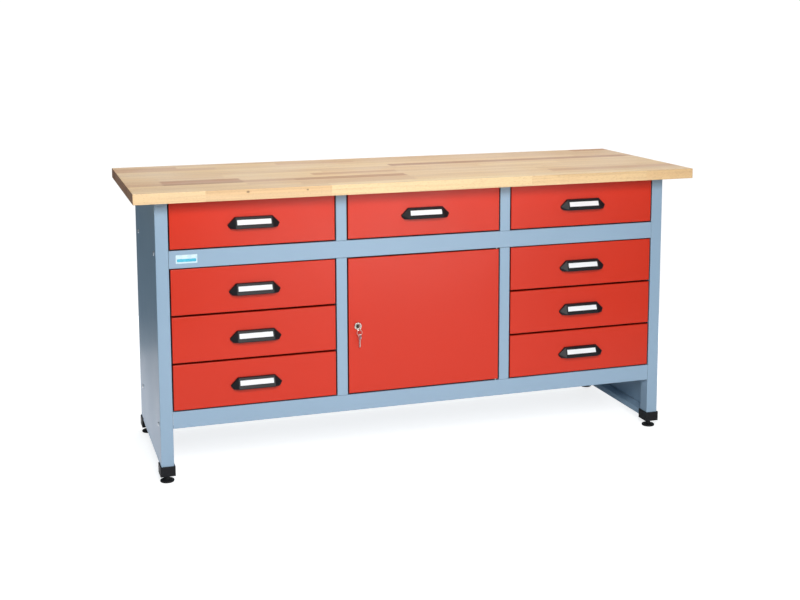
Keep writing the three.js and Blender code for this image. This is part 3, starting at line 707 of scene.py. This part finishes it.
def label_card(pocket):
    """A thin, slightly bowed card that lies in the window."""
    centre, normal, corners = pocket
    across = Vector((1, 0, 0))
    up = normal.cross(across)
    if up.z < 0:
        up = -up
    half_x = max((c - centre).dot(across) for c in corners) - LABEL["gap"]
    half_up = max((c - centre).dot(up) for c in corners) - LABEL["gap"]
    base = centre + normal * LABEL["lift"]
    bm = bmesh.new()
    columns = LABEL["columns"]
    rings = []
    for lift in (0, LABEL["thick"]):
        loop = []
        for side, order in ((-1, range(columns + 1)), (1, range(columns, -1, -1))):
            for k in order:
                x = half_x * (2 * k / columns - 1)
                bow = LABEL["bow"] * (1 - (x / half_x) ** 2)
                spot = base + across * x + up * side * half_up + normal * (lift + bow)
                loop.append(bm.verts.new(spot))
        rings.append(loop)
    low, high = rings
    count = len(low)
    for i in range(count):
        j = (i + 1) % count
        bm.faces.new((low[i], low[j], high[j], high[i]))
    for loop in rings:
        for k in range(columns):
            quad = (loop[k], loop[k + 1], loop[count - 2 - k], loop[count - 1 - k])
            bm.faces.new(quad)
    return bm


def add_handles():
    for label in DRAWERS:
        lo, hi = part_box(f"handle_{label}")
        place = Vector(((lo.x + hi.x) / 2, hi.y, hi.z - HANDLE["top"]))
        body = BODY_OF[f"handle_{label}"]
        shell, pocket = handle_shell()
        bmesh.ops.translate(shell, vec=place, verts=shell.verts)
        name = f"cup_handle_{label}"
        handle = new_piece(name, shell, PLASTIC, body, rounding=0.9 * MM, angle=20)
        wall = handle.modifiers.new("wall", "SOLIDIFY")
        wall.thickness = HANDLE["wall"]
        wall.offset = -1
        handle.modifiers.move(len(handle.modifiers) - 1, 0)
        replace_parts(handle, f"handle_{label}")
        slip = label_card(pocket)
        bmesh.ops.translate(slip, vec=place, verts=slip.verts)
        new_piece(f"label_card_{label}", slip, CARD, body)


# ---- Lock and keys ----

ROSETTE = {
    "radius": 11 * MM,
    "thick": 2 * MM,
    "rim": 1.2 * MM,
    "rim_start": 0.9 * MM,
    "barrel": 8.5 * MM,
    "bore": 5.6 * MM,
    "bore_edge": 0.4 * MM,
    "groove": 7.6 * MM,
    "groove_half": 0.5 * MM,
    "groove_deep": 0.35 * MM,
}
KEY = {
    "bow": 11 * MM,
    "spare_bow": 9 * MM,
    "thick": 2 * MM,
    "edge": 0.3 * MM,
    "blade_half": 3.2 * MM,
    "shoulder": 2 * MM,
    "uncut": 5 * MM,
    "shallowest_cut": 0.9 * MM,
    "cut_step": 0.5 * MM,
    "point": 2 * MM,
    "corner": 1.2 * MM,
    "bar": 2.5 * MM,
    "slot_half": 3 * MM,
    "slot_far": 1 * MM,
    "slot_round": 1.4 * MM,
}
RING_WIRE = 0.65 * MM
SPARE_TURN = 20  # degrees about Z


def along_y(bm, place):
    """Lays a piece made along Z on its side, its top to the front, and puts it in its place."""
    bmesh.ops.rotate(bm, matrix=Matrix.Rotation(math.radians(90), 3, "X"), verts=bm.verts)
    bmesh.ops.translate(bm, vec=place, verts=bm.verts)


def add_lock_housing():
    """The lock's body: a dished rosette in front of the door, and the barrel through it."""
    lo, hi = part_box("lock_housing")
    r = ROSETTE
    rear = lo.y - hi.y
    profile = [
        (r["bore"], rear),
        (r["barrel"], rear),
        (r["barrel"], -r["thick"]),
        (r["radius"], -r["thick"]),
        (r["radius"], -r["rim_start"]),
        *arc((r["radius"] - r["rim"], -r["rim"]), r["rim"], 10, 90, 6),
        (r["groove"] + r["groove_half"], 0),
        (r["groove"], -r["groove_deep"]),
        (r["groove"] - r["groove_half"], 0),
        (r["bore"] + r["bore_edge"], 0),
        (r["bore"], -r["bore_edge"]),
    ]
    bm = turned(profile, 64)
    along_y(bm, ((lo.x + hi.x) / 2, lo.y, (lo.z + hi.z) / 2))
    piece = new_piece("lock_rosette", bm, NICKEL, BODY_OF["lock_housing"])
    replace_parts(piece, "lock_housing")


def key_outline(bow, reach, teeth):
    """A key's outline about its bow's middle, its blade pointing along +X, with cuts along one edge."""
    k = KEY
    half = k["blade_half"]
    root = math.degrees(math.asin(half / bow))
    pitch = (reach - bow - k["uncut"]) / teeth
    cuts = []
    for i in range(teeth):
        at = bow + k["shoulder"] + pitch * i
        deep = half - k["shallowest_cut"] - k["cut_step"] * (i * 2 % 3)
        cuts += [(at, half), (at + pitch * 0.3, deep), (at + pitch * 0.7, deep), (at + pitch, half)]
    tip = [(reach - k["point"], half), (reach, half - k["point"])]
    tip += [(reach, -half + k["corner"]), (reach - k["corner"], -half)]
    ring = arc((0, 0), bow, 360 - root, root, 56)[:-1]
    return [*ring, (bow * math.cos(math.radians(root)), half), *cuts, *tip]


def key_slot(near):
    """The slot in a key's bow, with round corners, from its near end in Y."""
    half, far, r = KEY["slot_half"], KEY["slot_far"], KEY["slot_round"]
    corners = [(half - r, far - r), (r - half, far - r), (r - half, near + r), (half - r, near + r)]
    return [point for i, corner in enumerate(corners) for point in arc(corner, r, 90 * i, 90 * i + 90, 5)]


def add_keys():
    """The key in the lock, the ring through its bow and the spare key on the ring."""
    lo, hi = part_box("key")
    middle = Vector(((lo.x + hi.x) / 2, lo.y + KEY["bow"], (lo.z + hi.z) / 2))
    outline = key_outline(KEY["bow"], hi.y - middle.y, 4)
    bm = cut_from_sheet([outline, key_slot(KEY["bar"] - KEY["bow"])], KEY["thick"], KEY["edge"])
    upright = Matrix(((0, 0, 1), (1, 0, 0), (0, 1, 0)))
    bmesh.ops.rotate(bm, matrix=upright, verts=bm.verts)
    bmesh.ops.translate(bm, vec=middle, verts=bm.verts)
    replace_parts(new_piece("lock_key", bm, NICKEL, BODY_OF["key"]), "key")

    lo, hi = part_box("key_ring")
    centre = ((hi.x - lo.x) / 2 - RING_WIRE, 0)
    bm = turned(arc(centre, RING_WIRE, 0, 330, 11), 72)
    along_y(bm, (lo + hi) / 2)
    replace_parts(new_piece("round_ring", bm, NICKEL, BODY_OF["key_ring"]), "key_ring")

    lo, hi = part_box("spare_key")
    bow = KEY["spare_bow"]
    outline = key_outline(bow, hi.z - bow - lo.z, 5)
    hole = [(y, x) for x, y in key_slot(KEY["bar"] - bow)]
    bm = cut_from_sheet([outline, hole], KEY["thick"], KEY["edge"])
    turn = Matrix.Rotation(math.radians(SPARE_TURN), 3, "Z")
    hanging = turn @ Matrix(((0, 0, 1), (0, 1, 0), (-1, 0, 0)))
    bmesh.ops.rotate(bm, matrix=hanging, verts=bm.verts)
    bmesh.ops.translate(bm, vec=((lo.x + hi.x) / 2, middle.y, hi.z - bow), verts=bm.verts)
    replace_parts(new_piece("hanging_key", bm, NICKEL, BODY_OF["spare_key"]), "spare_key")


# ---- Feet ----

FOOT = {
    "sole": 18 * MM,
    "flat": 15 * MM,
    "rim": 2 * MM,
    "rim_top": 3.5 * MM,
    "slope": 13 * MM,
    "slope_top": 6.6 * MM,
    "neck": 7 * MM,
    "fillet": 2.2 * MM,
    "fillet_top": 9.6 * MM,
    "neck_top": 15.5 * MM,
    "neck_edge": 0.8 * MM,
    "bore": 3.7 * MM,
}
STEM = {
    "radius": 4 * MM,
    "root": 3.3 * MM,
    "pitch": 1.25 * MM,
    "thread_top": 34 * MM,
    "end": 2.8 * MM,
    "end_edge": 1 * MM,
}


def foot_profile():
    """A disc with a rounded rim and a moulded neck, as (radius, height) points up from the floor."""
    f = FOOT
    return [
        (0, 0),
        (f["flat"], 0),
        *arc((f["sole"], f["rim"]), f["rim"], 270, 360, 6),
        *arc((f["sole"], f["rim_top"]), f["rim"], 0, 75, 6),
        (f["slope"], f["slope_top"]),
        *arc((f["neck"] + f["fillet"], f["fillet_top"]), f["fillet"], 270, 180, 5),
        (f["neck"], f["neck_top"] - f["neck_edge"]),
        (f["neck"] - f["neck_edge"], f["neck_top"]),
        (f["bore"], f["neck_top"]),
        (0, f["neck_top"]),
    ]


def stem_profile(top):
    """A stem from the neck up to its top, threaded on its lower part."""
    t = STEM
    start = FOOT["neck_top"]
    points = [(0, start + HAIR)]
    for k in range(int((t["thread_top"] - start) / t["pitch"])):
        height = start + t["pitch"] * (k + 0.1)
        points += [(t["root"], height), (t["radius"], height + t["pitch"] / 2)]
    points += [(t["root"], t["thread_top"]), (t["root"], top - t["end_edge"])]
    return [*points, (t["end"], top), (0, top)]


def add_glides():
    """Each levelling foot: a rubber disc on a threaded stem."""
    for foot in FEET:
        lo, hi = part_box(f"glide_{foot}")
        place = ((lo.x + hi.x) / 2, (lo.y + hi.y) / 2, lo.z)
        body = BODY_OF[f"glide_{foot}"]
        disc = turned(foot_profile(), 64)
        bmesh.ops.translate(disc, vec=place, verts=disc.verts)
        piece = new_piece(f"foot_disc_{foot}", disc, RUBBER, body)
        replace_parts(piece, f"glide_{foot}")
        stem = turned(stem_profile(hi.z - lo.z), 40)
        bmesh.ops.translate(stem, vec=place, verts=stem.verts)
        new_piece(f"foot_stem_{foot}", stem, ZINC, body)


# ---- Bolts and sticker ----

BOLT = {
    "head": 6.2 * MM,
    "rise": 3.0 * MM,
    "socket": 2.4 * MM,
    "deep": 1.6 * MM,
    "lip": 0.6 * MM,
    "brim": 0.3 * MM,
}
# How far the bolts are from the side's front and back edges, and into each rail.
BOLT_FROM = {"front": 34 * MM, "back": 78 * MM, "upper": 10 * MM, "lower": 8 * MM}


def bolt_head():
    """A button head with a sunk socket, standing on the plane z = 0."""
    h = BOLT
    rim = h["socket"] + h["lip"]
    dome = []
    for degrees in range(15, 90, 15):
        turn = math.radians(degrees)
        dome.append((rim + (h["head"] - rim) * math.sin(turn), h["rise"] * math.cos(turn) ** 0.8))
    bottom = h["rise"] - h["deep"]
    pocket = [(0, bottom), (h["socket"], bottom), (h["socket"], h["rise"])]
    return turned([*pocket, *dome, (h["head"], h["brim"]), (h["head"], 0), (0, 0)], 36)


def add_bolts():
    """The bolts that hold each side to the rails: two near the front leg, two further back."""
    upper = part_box("front_mid_rail")[1].z - BOLT_FROM["upper"]
    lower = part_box("front_bottom_rail")[0].z + BOLT_FROM["lower"]
    for side, where in ((-1, "left"), (1, "right")):
        lo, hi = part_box(f"side_{where}")
        x = hi.x if side > 0 else lo.x
        body = BODY_OF[f"side_{where}"]
        for depth, y in (("front", lo.y + BOLT_FROM["front"]), ("back", hi.y - BOLT_FROM["back"])):
            for level, z in (("upper", upper), ("lower", lower)):
                bm = bolt_head()
                bmesh.ops.rotate(bm, matrix=Matrix.Rotation(side * math.pi / 2, 3, "Y"), verts=bm.verts)
                bmesh.ops.translate(bm, vec=(x, y, z), verts=bm.verts)
                name = f"bolt_{where}_{depth}_{level}"
                new_piece(name, bm, BRIGHT_ZINC, body, 0.15 * MM, steps=2, angle=50)


STICKER = {
    "width": 60 * MM,
    "height": 24.5 * MM,
    "inset": 19 * MM,
    "rise": 13.5 * MM,
    "thick": 0.2 * MM,
    "corner": 1.5 * MM,
}
BAND = {"side": 3 * MM, "bottom": 4.5 * MM, "height": 8.5 * MM, "thick": 0.08 * MM, "corner": 3.5 * MM}


def rounded_plate(bm, x, z, y, radius):
    """Adds a plate with round corners between two x, two z and two y values, and returns its faces."""
    corners = [(x[1] - radius, z[1] - radius), (x[0] + radius, z[1] - radius)]
    corners += [(x[0] + radius, z[0] + radius), (x[1] - radius, z[0] + radius)]
    outline = []
    for k, corner in enumerate(corners):
        outline += arc(corner, radius, 90 * k, 90 * k + 90, 5)
    front, back = [[bm.verts.new((px, depth, pz)) for px, pz in outline] for depth in y]
    faces = [bm.faces.new(front), bm.faces.new(back[::-1])]
    for i in range(len(front)):
        j = (i + 1) % len(front)
        faces.append(bm.faces.new((front[i], back[i], back[j], front[j])))
    return faces


def add_sticker():
    """A plain sticker on the middle rail: a pale plate with a blue band low on it."""
    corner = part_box("front_mid_rail")[0]
    x0, z0 = corner.x + STICKER["inset"], corner.z + STICKER["rise"]
    x1, z1 = x0 + STICKER["width"], z0 + STICKER["height"]
    face = corner.y - STICKER["thick"]
    bm = bmesh.new()
    band = bm.faces.layers.float.new("band")
    rounded_plate(bm, (x0, x1), (z0, z1), (face, corner.y + HAIR), STICKER["corner"])
    wide = (x0 + BAND["side"], x1 - BAND["side"])
    high = (z0 + BAND["bottom"], z0 + BAND["bottom"] + BAND["height"])
    for made in rounded_plate(bm, wide, high, (face - BAND["thick"], face + HAIR), BAND["corner"]):
        made[band] = 1
    new_piece("plain_sticker", bm, FILM, BODY_OF["front_mid_rail"])


# ---- Assembly ----

SHEET_STEEL = [
    "side_left", "side_right", "guide_wall_left", "guide_wall_right", "partition_left",
    "partition_right", "front_mid_rail", "front_bottom_rail", "rear_top_rail", "back_panel",
    "bottom_panel",
]
for node in SHEET_STEEL:
    dress(node, PAINT, 0.35 * MM)
dress("cupboard_shelf", PAINT, 0.5 * MM)
for label in DRAWERS:
    dress(f"front_{label}", RED, 0.35 * MM)
    dress(f"tray_{label}", ZINC, 0.3 * MM)
dress("door_panel", RED, 0.35 * MM)
for node in ("hinge_pin_top", "hinge_pin_bottom", "lock_nut", "lock_cam"):
    dress(node, NICKEL, 0.4 * MM)
# the plug's dark colour is painted shade for its sunk keyway
dress("lock_plug", BRASS_WITH_PAINTED_SHADE, 0.4 * MM)
for foot in FEET:
    dress(f"foot_cap_{foot}", PLASTIC, 1.0 * MM, steps=3)

add_worktop()
add_handles()
add_lock_housing()
add_keys()
add_glides()
add_bolts()
add_sticker()
